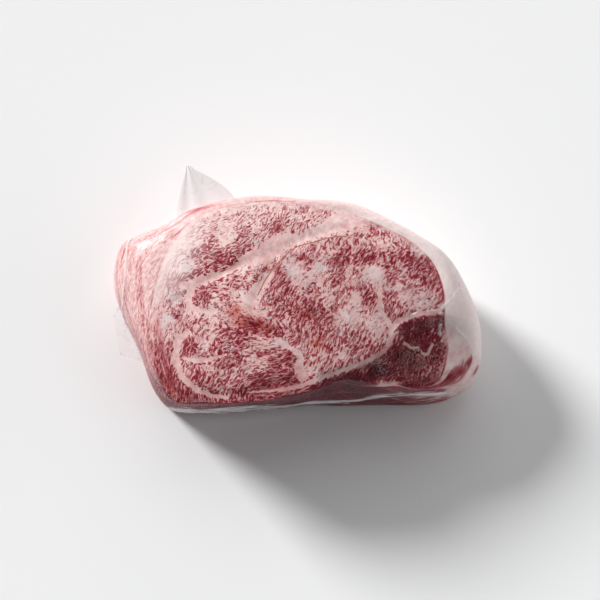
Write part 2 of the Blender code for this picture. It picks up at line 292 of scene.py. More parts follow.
def side_point(theta, up, seam_depth=FILM_SEAM_DEPTH):
    belt, belt_height = belt_at(theta)
    base = belt - BASE_INSET - BASE_INSET_PER_HEIGHT * belt_height
    radius, height = rim_at(theta)
    slope = DOME_POWER * (CROWN_HEIGHT - height) / radius
    t = np.clip(up / BELT_SHARE, 0, 1)
    r_low = bezier(base, base + ROUND_HANDLE * (belt - base), belt, belt, t)
    z_low = bezier(0.0, 0.0, (1 - ROUND_HANDLE) * belt_height, belt_height, t)
    t = np.clip((up - BELT_SHARE) / (1 - BELT_SHARE), 0, 1)
    out = np.maximum(SHOULDER_FULLNESS * (belt - radius), LEAST_SHOULDER)
    lift = SHOULDER_FULLNESS * (height - belt_height)
    r_high = bezier(belt, belt, radius + out, radius, t)
    z_high = bezier(belt_height, belt_height + lift, height - out * slope, height, t)
    r = np.where(up < BELT_SHARE, r_low, r_high)
    z = np.where(up < BELT_SHARE, z_low, z_high)
    waves = [np.sin(count * theta + turn * up + start) for count, turn, start in SWELL_WAVES]
    r = r + SWELL * sum(waves) / len(waves) * np.sin(math.pi * up)
    rim_relief = face_point(theta, np.ones(theta.shape), seam_depth)[:, 2] - height
    z = z + rim_relief * smoothstep(2 * BELT_SHARE, 1.0, up)
    return np.stack([CENTRE[0] + r * np.cos(theta), CENTRE[1] + r * np.sin(theta), z], axis=-1)


def on_roast(cube, seam_depth):
    """Carries points of a cube from -1 to 1 onto the roast. Also gives angle, reach and rise."""
    a, b, c = cube.T
    disc_x, disc_y = a * np.sqrt(1 - b * b / 2), b * np.sqrt(1 - a * a / 2)
    theta = np.arctan2(disc_y * GRID_FLATTENING, disc_x)
    reach = np.minimum(np.hypot(disc_x, disc_y), 1.0)
    up = (c + 1) / 2
    side, face = side_point(theta, up, seam_depth), face_point(theta, reach, seam_depth)
    edge = side_point(theta, np.zeros(theta.shape))
    base = np.stack([CENTRE[0] + (edge[:, 0] - CENTRE[0]) * reach,
                     CENTRE[1] + (edge[:, 1] - CENTRE[1]) * reach, np.zeros(theta.shape)], axis=-1)
    is_face, is_base = c > FLAT, c < -FLAT
    points = np.where(is_face[:, None], face, np.where(is_base[:, None], base, side))
    return points, theta, reach, up


def gridded_cube(across, up):
    """A cube from -1 to 1 whose top and base are cut into squares and whose sides into rows."""
    bm = bmesh.new()
    bmesh.ops.create_cube(bm, size=2.0)
    upright = {e for e in bm.edges if abs(e.verts[0].co.z - e.verts[1].co.z) > 1}
    bmesh.ops.subdivide_edges(bm, edges=[e for e in bm.edges if e not in upright], cuts=across - 1,
                              use_grid_fill=True)
    tall = [e for e in bm.edges if abs(e.verts[0].co.z - e.verts[1].co.z) > 1]
    bmesh.ops.subdivide_edges(bm, edges=tall, cuts=up - 1, use_grid_fill=True)
    bmesh.ops.recalc_face_normals(bm, faces=bm.faces)
    return bm


def mesh_piece(name, bm):
    mesh = bpy.data.meshes.new(name)
    bm.to_mesh(mesh)
    bm.free()
    piece = bpy.data.objects.new(name, mesh)
    bpy.context.scene.collection.objects.link(piece)
    return piece


def points_of(piece):
    points = np.empty(len(piece.data.vertices) * 3)
    piece.data.vertices.foreach_get("co", points)
    return points.reshape(-1, 3)


def normals_of(piece):
    normals = np.empty(len(piece.data.vertices) * 3, np.float32)
    piece.data.vertex_normals.foreach_get("vector", normals)
    return normals.reshape(-1, 3).astype(float)


def move_points(piece, points):
    piece.data.vertices.foreach_set("co", points.astype(np.float32).ravel())
    piece.data.update()


def keep_numbers(piece, name, values):
    """Keeps a number, or three, for each point of the piece, for its material to read."""
    values = np.asarray(values, np.float32)
    kind = "FLOAT" if values.ndim == 1 else "FLOAT_VECTOR"
    attribute = piece.data.attributes.new(name, kind, "POINT")
    attribute.data.foreach_set("value" if kind == "FLOAT" else "vector", values.ravel())


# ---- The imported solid's box places the roast's plan: the bag corners reach only left and back ----

sealed_low, sealed_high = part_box(SEALED)
probe = np.linspace(-math.pi, math.pi, 721)
rows_up = np.linspace(0, 1, 61)
probe_points = np.concatenate([side_point(probe, np.full(probe.shape, u)) for u in rows_up])
SHIFT = np.array([sealed_high.x / MM - probe_points[:, 0].max(),
                  sealed_low.y / MM - probe_points[:, 1].min(), 0.0])


def to_packed(points):
    return (points + SHIFT) * MM


# ---- Fibres ----

PLAN_STEP = 2.5
PLAN_X = np.arange(-165, 165, PLAN_STEP)
PLAN_Y = np.arange(-110, 115, PLAN_STEP)
MUSCLE_BLEND = 3.0  # millimetres over which neighbouring muscles run into each other


def muscle_values(x, y):
    """Angle, lean share, darkness, haze, coarseness and net of the muscles at points of the plan."""
    rows = [(*point, coarse, net) for coarse, net, points in MUSCLES.values() for point in points]
    rows = np.array(rows, float)
    total, weights = np.zeros((*x.shape, 6)), np.zeros(x.shape)
    for row in rows:
        weight = 1 / ((x - row[0]) ** 2 + (y - row[1]) ** 2 + MUSCLE_BLEND**2) ** 2
        weights += weight
        total += weight[..., None] * row[2:]
    return total / weights[..., None]


def smoothest(slope_x, slope_y):
    """The plan of heights whose slopes come nearest to the given ones, solved by cosine waves."""
    rise = np.zeros(slope_x.shape)
    step_x = PLAN_STEP * (slope_x[:, 1:] + slope_x[:, :-1]) / 2
    step_y = PLAN_STEP * (slope_y[1:] + slope_y[:-1]) / 2
    rise[:, :-1] += step_x
    rise[:, 1:] -= step_x
    rise[:-1] += step_y
    rise[1:] -= step_y
    mirrored = np.block([[rise, rise[:, ::-1]], [rise[::-1], rise[::-1, ::-1]]])
    waves = np.fft.fft2(mirrored)
    bend_y, bend_x = (2 * np.cos(2 * math.pi * np.arange(n) / n) - 2 for n in mirrored.shape)
    bend = bend_y[:, None] + bend_x[None, :]
    bend[0, 0] = 1.0
    waves /= bend
    waves[0, 0] = 0.0
    return np.real(np.fft.ifft2(waves))[:rise.shape[0], :rise.shape[1]]


def read_plan(plan, x, y):
    """Values of a plan at points, straight between its grid's points."""
    column = np.clip((x - PLAN_X[0]) / PLAN_STEP, 0, len(PLAN_X) - 1.001)
    row = np.clip((y - PLAN_Y[0]) / PLAN_STEP, 0, len(PLAN_Y) - 1.001)
    i, j = column.astype(int), row.astype(int)
    s, t = column - i, row - j
    return (plan[j, i] * (1 - s) * (1 - t) + plan[j, i + 1] * s * (1 - t)
            + plan[j + 1, i] * (1 - s) * t + plan[j + 1, i + 1] * s * t)


def fibre_plans():
    """Plans of the distance along and across the fibres, in millimetres."""
    x, y = np.meshgrid(PLAN_X, PLAN_Y)
    angle = np.radians(muscle_values(x, y)[..., 0])
    return (smoothest(np.cos(angle), np.sin(angle)), smoothest(-np.sin(angle), np.cos(angle)))


def seam_cover(x, y):
    """How much of the cut face is seam fat: 1 in a seam's middle and 0 away from it."""
    cover = np.zeros(x.shape)
    for seam in FAT_SEAMS.values():
        gap, _, width = along_curve(seam, x, y)
        cover = np.maximum(cover, np.clip(1.2 - 0.6 * np.abs(gap) / width, 0, 1))
    return cover


def spots(table, x, y):
    """How near the points are to a table's spots, whose edges wander by a few millimetres."""
    amount = np.zeros(x.shape)
    x, y = (x + 2.2 * np.sin(0.8 * y + 1) + 1.4 * np.sin(1.9 * y),
            y + 2.2 * np.sin(0.7 * x) + 1.4 * np.sin(2.1 * x + 2))
    for spot_x, spot_y, radius in table:
        amount = np.maximum(amount, np.exp(-((x - spot_x) ** 2 + (y - spot_y) ** 2) / radius**2))
    return amount


def line_gap(line, x, y):
    """Signed distance to a line beside it, and far from it elsewhere."""
    gap, beside, _ = along_curve(line, x, y)
    return np.where(beside, np.clip(gap, -FAR, FAR), FAR)


# ---- The meat ----

MEAT_SQUARES = 150
MEAT_ROWS = 40
FILM_GAP = 0.5  # the film lies this far outside the meat, in millimetres
SEAM_HOLLOW = 0.4
CUT_SWELL = 0.35
FRONT_HOLLOW = 1.4
RECESS = ((22, -76), (34, -72), (48, -68), (60, -65))
RECESS_DEPTH = 7.0
RECESS_WIDTH = 4.5
BRIDGED_DEPTH = 3.0
SIDE_HEIGHT = 75.0

# How the sides look from angle to angle, in degrees: lean share, darkness and paleness.
# Darkness is the meat's own, with painted shade added on the front, which faces away from the key
# light, and on the left end, which the key light lights strongly. Paleness is painted light,
# chiefly on the right end's fat.
SIDE_LOOKS = (
    (-180, 0.50, 0.42, 0.1), (-165, 0.60, 0.54, 0.0), (-150, 0.72, 0.62, 0.0),
    (-138, 0.84, 0.68, 0.0), (-120, 0.88, 0.92, 0.0), (-80, 0.88, 0.95, 0.0), (-55, 0.88, 0.92, 0.0),
    (-40, 0.82, 0.74, 0.0), (-29, 0.62, 0.50, 0.0), (-20, 0.10, 0.20, 0.6), (-12, 0.0, 0.10, 1.0),
    (30, 0.0, 0.14, 0.9), (60, 0.10, 0.34, 0.4), (95, 0.26, 0.48, 0.0), (125, 0.36, 0.48, 0.0),
    (150, 0.44, 0.46, 0.0),
)
# Patches of the sides and of their edge: x, y, height, radius, lean share and darkness.
# The darkest patches along the front under the eye's edge are painted shade for the hollow there.
PATCHES = (
    (133, -54, 60, 7, 0.85, 0.45), (139, -58, 43, 8, 0.82, 0.45), (117, -67, 63, 8, 0.85, 0.50),
    (126, -62, 61, 6, 0.82, 0.45), (122, -72, 46, 6, 0.0, 0.3), (135, -65, 38, 6, 0.0, 0.3),
    (120, -50, 69, 6, 0.10, 0.4), (128, -46, 67, 7, 0.05, 0.3), (118, -36, 74, 6, 0.05, 0.3),
    # Painted shade: from here the darkest patches paint the hollow under the eye's front edge.
    (12, -80, 88, 5, 0.90, 1.0), (23, -77, 87, 6, 0.95, 1.0), (35, -74, 84, 7, 0.95, 1.0),
    (46, -71.5, 82, 6, 0.95, 1.0), (56, -70, 80, 5, 0.95, 1.0), (64, -67, 79, 4, 0.90, 1.0),
    (39, -77, 62, 10, 0.90, 1.0), (54, -77, 71, 4, 0.20, 0.5),
    (64, -76, 73, 5, 0.0, 0.25), (73, -76, 71, 6, 0.0, 0.2), (70, -70, 78, 3.5, 0.90, 1.0),
    (79, -69, 76, 5, 1.0, 0.0), (88, -71, 73, 4.5, 1.0, 0.1), (-103, -84, 75, 9, 0.95, 0.75),
)
# The strip of outer muscle round the left end and the front of the cut face.
OUTER_STRIP = ((-104, -8), (-106, -30), (-103, -45), (-100, -58), (-96, -70), (-88, -80), (-76, -86.5),
               (-60, -89), (-40, -90))


def recess_shape(x, y):
    """1 in the hollow under the eye's front edge, where the film spans open space."""
    gap, _, _ = along_curve(RECESS, x, y)
    return np.exp(-((gap / RECESS_WIDTH) ** 2))


def bridged_shape(theta, up, reach, is_cut, upper):
    """1 along the back right rim, where the film cuts the corner above the meat."""
    degrees = np.degrees(theta)
    around = smoothstep(0, 18, degrees) * smoothstep(95, 60, degrees)
    near_rim = np.where(is_cut, smoothstep(0.82, 1.0, reach), smoothstep(0.72, 1.0, up))
    return around * near_rim * upper


def cut_swell(x, y):
    """The cut face's own gentle unevenness."""
    return CUT_SWELL * np.sin(0.21 * x + 0.13 * y) * np.sin(0.17 * y - 0.11 * x + 1.0)


def front_hollow(x, y, z):
    """How far the front of the meat draws back behind the film, in long level waves."""
    in_front = smoothstep(-68, -76, y) * smoothstep(2, 12, z) * smoothstep(92, 84, z)
    waves = np.sin(0.30 * z + 1.6 * np.sin(0.045 * x) + 0.7 * np.sin(0.12 * x))
    return FRONT_HOLLOW * in_front * (1 + waves)


def side_share(x, y, z, reach, up, is_cut):
    """0 where the meat looks as its cut face does, and 1 where it looks as its outside does."""
    side = np.where(is_cut, smoothstep(0.965, 1.0, reach) * 0.8, smoothstep(1.0, 0.93, up) * 0.2 + 0.8)
    gap, _, _ = along_curve(OUTER_STRIP, x, y)
    outer = smoothstep(0.0, 3.0, -gap) * smoothstep(40.0, 10.0, x) * is_cut
    side = np.maximum(side, outer) * (1 - 0.5 * smoothstep(-95, -115, x))
    front_left = smoothstep(20, -10, x) * smoothstep(-70, -80, y) * smoothstep(40, 60, z)
    return side * (1 - 0.7 * front_left)


def lean_dark_pale(points, theta, is_cut, cut_lean, cut_dark):
    """Lean share, darkness (partly painted shade) and paleness (painted light) of the cut face and the
    sides, with the sides' patches.
    """
    looks = np.array(SIDE_LOOKS, float)
    side_lean, side_dark, pale = (np.interp(np.degrees(theta), looks[:, 0], looks[:, k], period=360)
                                  for k in (1, 2, 3))
    lean = np.where(is_cut, cut_lean, side_lean)
    dark = np.where(is_cut, cut_dark, side_dark)
    for *place, radius, patch_lean, patch_dark in PATCHES:
        near = np.exp(-((points - place) ** 2).sum(axis=-1) / radius**2)
        lean += near * (patch_lean - lean)
        dark += near * (patch_dark - dark)
        pale -= near * pale
    return lean, dark, pale


def meat_piece():
    piece = mesh_piece("rib_roast_meat", gridded_cube(MEAT_SQUARES, MEAT_ROWS))
    cube = points_of(piece)
    points, theta, reach, up = on_roast(cube, MEAT_SEAM_DEPTH)
    move_points(piece, to_packed(points))
    x, y, z = points.T
    is_cut = np.abs(cube[:, 2]) > FLAT
    upper = cube[:, 2] > 0

    cover = seam_cover(x, y)
    inner = smoothstep(0.97, 0.80, reach) * is_cut
    hollow = FILM_GAP + SEAM_HOLLOW * cover * inner * upper
    hollow += RECESS_DEPTH * upper * recess_shape(x, y)
    hollow += BRIDGED_DEPTH * bridged_shape(theta, up, reach, is_cut, upper)
    hollow += front_hollow(x, y, z) - cut_swell(x, y) * inner
    move_points(piece, points_of(piece) - normals_of(piece) * (hollow * MM)[:, None])

    along, across = fibre_plans()
    _, cut_lean, cut_dark, haze, coarse, net = np.moveaxis(muscle_values(x, y), -1, 0)
    lean, dark, pale = lean_dark_pale(points, theta, is_cut, cut_lean, cut_dark)
    side = side_share(x, y, z, reach, up, is_cut)
    rim_radius, _ = rim_at(theta)
    strata = np.where(is_cut, -(1 - reach) * rim_radius, (1 - up) * SIDE_HEIGHT)
    # Painted light: the cut face is painted paler towards its left end and its back rim, where the key light
    # falls strongly, and the sides take the painted light of SIDE_LOOKS.
    left_painted_light = smoothstep(-76, -112, x - 0.35 * y) * smoothstep(-24, 10, y) * 0.7
    painted_light = np.where(is_cut, left_painted_light + smoothstep(54, 74, y) * 0.4, pale)
    blood, frost = spots(BLOOD, x, y) * is_cut, spots(FROST, x, y) * is_cut * upper
    for name, columns in (
        ("grain", (read_plan(along, x, y), read_plan(across, x, y), z)),
        ("marbling", (cover * is_cut, lean, coarse)),
        ("tone_and_shade", (dark, haze * is_cut, blood)),
        ("skin", (side, strata, net * is_cut)),
        ("lines", (line_gap(SHEATH_LINE, x, y), line_gap(SIDE_THREAD, x, y), painted_light)),
    ):
        keep_numbers(piece, name, np.stack(columns, axis=-1))
    keep_numbers(piece, "frost", frost)
    piece.data.shade_smooth()
    return piece


# ---- The film ----

FILM_SQUARES = 140
FILM_ROWS = 44
CREASE_HEIGHT = 1.5
WELD_HEIGHT = 0.5
WELD_HALF_WIDTH = 1.2
DEEPEST_FOLD = 0.6 * FILM_GAP  # keeps the film clear of the meat
# The creases' white: partly the creased film's own, partly painted highlight.
CREASE_WHITE_AND_HIGHLIGHT = 0.52
BRIDGED_MILK = 0.3
# How strongly glare along the front is painted as white film.
GLARE = 1.1
KNOT = np.array([109.0, -21.0, 82.0])  # where the film is gathered by the end of the eye
WELD = ((-134, 46), (-137, 37), (-138, 16), (-140, -3), (-143, -20))
# White creases of the film: x, y, height and half-width along each, in millimetres. Their white is partly
# the creased film's own and partly painted highlight; the last crease is a painted glint at the lower left.
CREASES = (
    ((76, -29, 89, 0.6), (81, -26, 89, 1.4), (91, -21, 88, 2.0), (102, -19, 86, 2.6), (109, -17, 84, 2.8),
     (114, -12, 83, 3.4), (121, -4, 80, 4.2), (126, 4, 74, 4.0)),
    ((109, -20, 83, 3.0), (117, -27, 76, 2.2), (123, -31, 73, 2.0), (130, -38, 68, 1.3), (135, -45, 63, 1.0),
     (140, -52, 53, 0.8)),
    ((109, -22, 82, 2.6), (108, -30, 77, 2.2), (109, -36, 75, 1.4), (112, -47, 71, 0.5)),
    ((117, -24, 78, 1.2), (122, -28, 75, 2.4), (121, -35, 73, 1.2)),
    ((-134, -30, 50, 0.5), (-123, -50, 62, 1.1), (-116, -62, 75, 0.8), (-111, -71, 74, 0.9),
     (-109, -78, 54, 0.8)),
)
# The band of level wrinkles along the front, where glare is painted as white film, and its half-width.
FRONT_STRIP = (
    (-104, -84, 16, 5.0), (-88, -86, 23, 17.0), (-73, -87, 25, 20.0), (-55, -87, 24, 20.0),
    (-40, -85, 22, 18.0), (-20, -83, 21, 14.0), (0, -80.5, 21, 9.0), (20, -79, 24, 6.5),
    (46, -78, 31, 5.5), (63, -77, 43, 7.5), (80, -77, 49, 8.5), (99, -76.7, 49, 9.0),
    (115, -75, 38, 6.5), (124, -72, 29, 3.0),
)


def along_path(path, x, y, z):
    """How near points are to a path through space: 1 on it and 0 beyond its half-width."""
    path = smooth_line(path, closed=False, steps=5)
    nearness = np.zeros(x.shape)
    here = np.stack([x, y, z], axis=-1)
    for a, b in zip(path[:-1], path[1:]):
        step = b[:3] - a[:3]
        t = np.clip((here - a[:3]) @ step / (step @ step), 0.0, 1.0)
        gap = np.linalg.norm(here - a[:3] - t[:, None] * step, axis=-1)
        nearness = np.maximum(nearness, np.exp(-((gap / (a[3] + (b[3] - a[3]) * t)) ** 2)))
    return nearness


def tension_folds(x, y, z):
    """Heights of the folds that run from the gathered film, and of the creases of the front."""
    away = np.stack([x, y, z], axis=-1) - KNOT
    distance = np.linalg.norm(away, axis=-1)
    bearing = np.arctan2(away[:, 1], away[:, 0])
    fan = np.sin(bearing * 16 + 1.2 * np.sin(bearing * 5)) * np.exp(-((distance - 14) / 16) ** 2)
    outward = smoothstep(-1.9, -1.2, bearing) * smoothstep(0.4, -0.2, bearing)
    folds = 0.8 * fan * outward
    front = smoothstep(-66, -80, y) * smoothstep(84, 60, z)
    folds += 0.5 * front * np.sin(0.33 * z + 2.2 * np.sin(0.05 * x) + 0.8 * np.sin(0.13 * x))
    left = smoothstep(-120, -135, x)
    folds += 0.3 * left * np.sin(0.5 * z + 1.5 * np.sin(0.07 * y))
    return folds


def film_piece():
    piece = mesh_piece("shrink_film", gridded_cube(FILM_SQUARES, FILM_ROWS))
    cube = points_of(piece)
    points, theta, reach, up = on_roast(cube, FILM_SEAM_DEPTH)
    move_points(piece, to_packed(points))
    x, y, z = points.T
    weld = line_gap(WELD, x, y)
    on_left = smoothstep(-118, -128, x) * (z > 8)
    creases = np.max([along_path(path, x, y, z) for path in CREASES], axis=0)
    raised = tension_folds(x, y, z) * smoothstep(1.0, 8.0, z)
    raised += WELD_HEIGHT * np.exp(-((weld / WELD_HALF_WIDTH) ** 2)) * on_left
    raised = np.maximum(raised + CREASE_HEIGHT * creases, -DEEPEST_FOLD)
    move_points(piece, points_of(piece) + normals_of(piece) * (raised * MM)[:, None])

    bridged = bridged_shape(theta, up, reach, np.abs(cube[:, 2]) > FLAT, cube[:, 2] > 0)
    # The creases' white, which is partly painted highlight, is kept with the film's milkiness.
    keep_numbers(piece, "milk", np.maximum(BRIDGED_MILK * bridged, CREASE_WHITE_AND_HIGHLIGHT * creases))
    keep_numbers(piece, "glare", GLARE * along_path(FRONT_STRIP, x, y, z))
    keep_numbers(piece, "weld", np.where(on_left > 0.5, weld, FAR))
    piece.data.shade_smooth()
    return piece


# Each corner's name, root and tip lines, pleat depth, pleats, bulge and milkiness.
BAG_CORNERS = (
    ("bag_back_corner", ((-98, 46, 56), (-46, 66, 60)), ((-92, 108, 62), (-88, 107, 63)),
     0.5, 3.0, 0.2, 0.86),
    ("bag_left_corner", ((-140, 12, 30), (-124, -46, 18)), ((-151, -8, 26), (-146, -38, 15)),
     0.5, 2.0, 0.0, 0.22),
)
FIN_SQUARES = 64
FIN_HALF_THICKNESS = 0.45


def bag_corner(name, root, tip, pleat, pleats, bulge, milk):
    """A welded corner of the bag: a thin pleated fin from its root to its tip."""
    root_a, root_b = (Vector(p) for p in root)
    tip_a, tip_b = (Vector(p) for p in tip)
    normal = (root_b - root_a).cross(tip_a - root_a).normalized()
    piece = mesh_piece(name, gridded_cube(FIN_SQUARES, 1))
    cube = points_of(piece)
    points = np.empty(cube.shape)
    for i, (a, b, c) in enumerate(cube):
        across, along = (a + 1) / 2, (b + 1) / 2
        place = root_a.lerp(root_b, across).lerp(tip_a.lerp(tip_b, across), along)
        place += (root_b - root_a) * bulge * (across - 0.35) * math.sin(math.pi * min(along * 1.1, 1.0))
        fold = pleat * math.sin(2 * math.pi * pleats * across + 0.7 * math.sin(5 * across))
        fold *= (1 - 0.55 * along) * math.sin(math.pi * min(max(across, 0.02), 0.98)) ** 0.5
        half = FIN_HALF_THICKNESS * (1 - 0.4 * along)
        points[i] = place + normal * (fold + c * half)
    move_points(piece, to_packed(points))
    edge = 1 - np.minimum(1, np.minimum((cube[:, 0] + 1), (1 - cube[:, 0])) * 6)
    keep_numbers(piece, "milk", milk + 0.12 * edge)
    keep_numbers(piece, "weld", np.full(len(points), FAR))
    keep_numbers(piece, "glare", np.zeros(len(points)))
    piece.data.shade_smooth()
    return piece


# ---- Materials ----

def linear(code):
    """Turns an sRGB hex colour into the linear colour that a shader takes."""
    parts = [int(code[i:i + 2], 16) / 255 for i in (1, 3, 5)]
    return (*(p / 12.92 if p <= 0.04045 else ((p + 0.055) / 1.055) ** 2.4 for p in parts), 1.0)


def add(tree, kind, inputs=None, out=None, stops=None, **settings):
    """Adds a node with its settings, values and links, and gives its output."""
    made = tree.nodes.new("ShaderNode" + kind)
    for name, value in settings.items():
        setattr(made, name, value)
    for key, value in (inputs or {}).items():
        if isinstance(key, int):
            socket = made.inputs[key]
        else:
            socket = next(s for s in made.inputs if s.enabled and s.name == key)
        if isinstance(value, bpy.types.NodeSocket):
            tree.links.new(value, socket)
        else:
            socket.default_value = value
    if stops:
        ramp = made.color_ramp
        for place, colour in stops[1:-1]:
            ramp.elements.new(place).color = linear(colour)
        for element, (place, colour) in ((ramp.elements[0], stops[0]), (ramp.elements[-1], stops[-1])):
            element.position, element.color = place, linear(colour)
    return made.outputs[out] if out else next(s for s in made.outputs if s.enabled)


def new_material(name):
    """A material and its empty node tree."""
    material = bpy.data.materials.new(name)
    material.use_nodes = True
    material.node_tree.nodes.clear()
    return material, material.node_tree


def add_output(tree, shader):
    output = tree.nodes.new("ShaderNodeOutputMaterial")
    tree.links.new(shader, output.inputs["Surface"])


def numbers_of(tree, name):
    """The three numbers that the meat keeps under a name."""
    kept = add(tree, "Attribute", out="Vector", attribute_name=name)
    return add(tree, "SeparateXYZ", {0: kept}).node.outputs


def bent_fibres(tree, grain):
    """The fibres' own coordinates, bent a few millimetres."""
    bend = add(tree, "TexNoise", {"Vector": grain, "Scale": 0.10, "Detail": 2.0}, out="Color")
    bend = add(tree, "VectorMath", {0: bend, 1: (0.5, 0.5, 0.5)}, operation="SUBTRACT")
    bend = add(tree, "VectorMath", {0: bend, "Scale": 7.0}, operation="SCALE")
    return add(tree, "VectorMath", {0: grain, 1: bend}, operation="ADD")


def fat_threads(tree, bent, drawn, net, patches):
    """Threads of fat between bundles of fibres, and the net of fat in the side muscle."""
    cells = add(tree, "TexVoronoi", {"Vector": drawn, "Scale": 0.30, "Randomness": 1.0},
                feature="DISTANCE_TO_EDGE")
    threads = add(tree, "MapRange", {"Value": cells, "From Min": 0.09, "From Max": 0.01},
                  interpolation_type="SMOOTHSTEP")
    net_cells = add(tree, "TexVoronoi", {"Vector": bent, "Scale": 0.32, "Randomness": 1.0},
                    feature="DISTANCE_TO_EDGE")
    net_lines = add(tree, "MapRange", {"Value": net_cells, "From Min": 0.14, "From Max": 0.0},
                    interpolation_type="SMOOTHSTEP")
    threads = add(tree, "Mix", {"Factor": net, "A": threads, "B": net_lines}, data_type="FLOAT")
    threads = add(tree, "Math", {0: threads, 1: 0.5}, operation="MULTIPLY")
    gaps = add(tree, "MapRange", {"Value": patches, "From Min": -0.012, "From Max": 0.018})
    return add(tree, "Math", {0: threads, 1: gaps}, operation="MULTIPLY")


def cut_lean(tree, grain, bent, net):
    """Lean of the cut face, in flecks drawn out along the fibres, and how deep in a fleck it is."""
    seam, lean_share, coarse = numbers_of(tree, "marbling")
    drawn = add(tree, "VectorMath", {0: bent, 1: (0.36, 1.0, 0.5)}, operation="MULTIPLY")
    fine = add(tree, "TexNoise", {"Vector": drawn, "Scale": 0.90, "Detail": 3.0, "Roughness": 0.6})
    broad = add(tree, "TexNoise", {"Vector": drawn, "Scale": 0.62, "Detail": 4.0, "Roughness": 0.66})
    flecks = add(tree, "Mix", {"Factor": coarse, "A": fine, "B": broad}, data_type="FLOAT")
    patches = add(tree, "TexNoise", {"Vector": grain, "Scale": 0.07, "Detail": 2.0})
    patches = add(tree, "MapRange", {"Value": patches, "From Min": 0.3, "From Max": 0.7, "To Min": -0.03,
                                     "To Max": 0.03})
    share = add(tree, "MapRange", {"Value": lean_share, "To Min": 0.10, "To Max": 0.42})
    level = add(tree, "Math", {0: share, 1: flecks}, operation="ADD")
    level = add(tree, "Math", {0: level, 1: patches}, operation="ADD")
    seam_edge = add(tree, "TexNoise", {"Vector": bent, "Scale": 0.42, "Detail": 4.0})
    seam_edge = add(tree, "Math", {0: seam_edge, 1: 1.5, 2: -0.80}, operation="MULTIPLY_ADD")
    seam_wavy = add(tree, "Math", {0: seam, 1: seam_edge}, operation="ADD")
    seam_fat = add(tree, "MapRange", {"Value": seam_wavy, "From Min": 0.38, "From Max": 0.80},
                   interpolation_type="SMOOTHSTEP")
    level = add(tree, "Math", {0: seam_fat, 1: -0.26, 2: level}, operation="MULTIPLY_ADD")
    lean = add(tree, "MapRange", {"Value": level, "From Min": 0.735, "From Max": 0.815},
               interpolation_type="SMOOTHSTEP")
    depth = add(tree, "MapRange", {"Value": level, "From Min": 0.76, "From Max": 0.98})
    threads = fat_threads(tree, bent, drawn, net, patches)
    kept = add(tree, "Math", {0: 1.0, 1: threads}, operation="SUBTRACT")
    return add(tree, "Math", {0: lean, 1: kept}, operation="MULTIPLY"), depth


def side_lean(tree, strata):
    """Lean of the sides: long streaks in the outer fat, which run level round the roast."""
    lean_share = numbers_of(tree, "marbling")[1]
    place = add(tree, "TexCoord", out="Object")
    level_place = add(tree, "VectorMath", {0: place, 1: (130.0, 130.0, 0.0)}, operation="MULTIPLY")
    streak_z = add(tree, "CombineXYZ", {"Z": strata})
    streak_place = add(tree, "VectorMath", {0: level_place, 1: streak_z}, operation="ADD")
    streaks = add(tree, "TexNoise", {"Vector": streak_place, "Scale": 0.22, "Detail": 4.0, "Roughness": 0.62,
                                     "Distortion": 0.6})
    level = add(tree, "Math", {0: lean_share, 1: 0.55, 2: streaks}, operation="MULTIPLY_ADD")
    return add(tree, "MapRange", {"Value": level, "From Min": 0.72, "From Max": 0.90},
               interpolation_type="SMOOTHSTEP")


# Each from the palest to the deepest.
LEAN_REDS = ((0.0, "#CC5864"), (0.4, "#A82C40"), (1.0, "#741224"))
# The dark reds and the fat's shades follow the darkness number, which also holds painted shade.
DARK_REDS = ((0.0, "#9A3540"), (0.45, "#681826"), (1.0, "#3C0B15"))
FAT_PINKS = ((0.3, "#DFB1AE"), (0.5, "#ECCAC6"), (0.7, "#F5E0DE"))
FAT_SHADES = ((0.3, "#FFFFFF"), (0.65, "#EAD6D6"), (1.0, "#B98A8A"))
BLOOD_STAIN = "#D8705A"
FROSTED = "#DDCCCD"
# Painted light: the pale pink that brightly lit parts and the right end's fat are painted towards.
PAINTED_LIGHT_PINK = "#FBEFEC"
SHEATH_BROWN = "#A5735F"
THREAD_CREAM = "#CDA79F"


def frosted(tree, colour, grain, haze):
    """The colour with its moist haze and its spots of frost, both in fine speckles."""
    frost = add(tree, "Attribute", out="Fac", attribute_name="frost")
    speckle = add(tree, "TexNoise", {"Vector": grain, "Scale": 0.9, "Detail": 3.0, "Roughness": 0.7})
    speckle = add(tree, "MapRange", {"Value": speckle, "From Min": 0.40, "From Max": 0.62})
    hazy = add(tree, "Math", {0: haze, 1: 0.45}, operation="MULTIPLY")
    hazy = add(tree, "Math", {0: frost, 1: 0.70, 2: hazy}, operation="MULTIPLY_ADD")
    hazy = add(tree, "Math", {0: speckle, 1: 0.75, 2: hazy}, operation="MULTIPLY_ADD")
    hazy = add(tree, "MapRange", {"Value": hazy, "From Min": 0.80, "From Max": 1.18, "To Max": 0.78},
               interpolation_type="SMOOTHSTEP")
    return add(tree, "Mix", {"Factor": hazy, "A": colour, "B": linear(FROSTED)}, data_type="RGBA")


def lined(tree, colour, side):
    """The colour with painted light, which pales it where the key light falls strongly and on the right
    end's fat, and with the sheath's line and the white thread.
    """
    sheath, thread, painted_light = numbers_of(tree, "lines")
    # Painted light: mixes in the pale pink by the kept share.
    painted_light_share = add(tree, "Math", {0: painted_light, 1: 0.7}, operation="MULTIPLY")
    colour = add(tree, "Mix", {"Factor": painted_light_share, "A": colour, "B": linear(PAINTED_LIGHT_PINK)}, data_type="RGBA")
    on_cut = add(tree, "MapRange", {"Value": side, "From Min": 0.35, "From Max": 0.1})
    for distance, width, line_colour in ((sheath, 0.8, SHEATH_BROWN), (thread, 1.7, THREAD_CREAM)):
        near = add(tree, "Math", {0: distance}, operation="ABSOLUTE")
        near = add(tree, "MapRange", {"Value": near, "From Min": width, "From Max": 0.3 * width},
                   interpolation_type="SMOOTHSTEP")
        near = add(tree, "Math", {0: near, 1: on_cut}, operation="MULTIPLY")
        colour = add(tree, "Mix", {"Factor": near, "A": colour, "B": linear(line_colour)}, data_type="RGBA")
    return colour


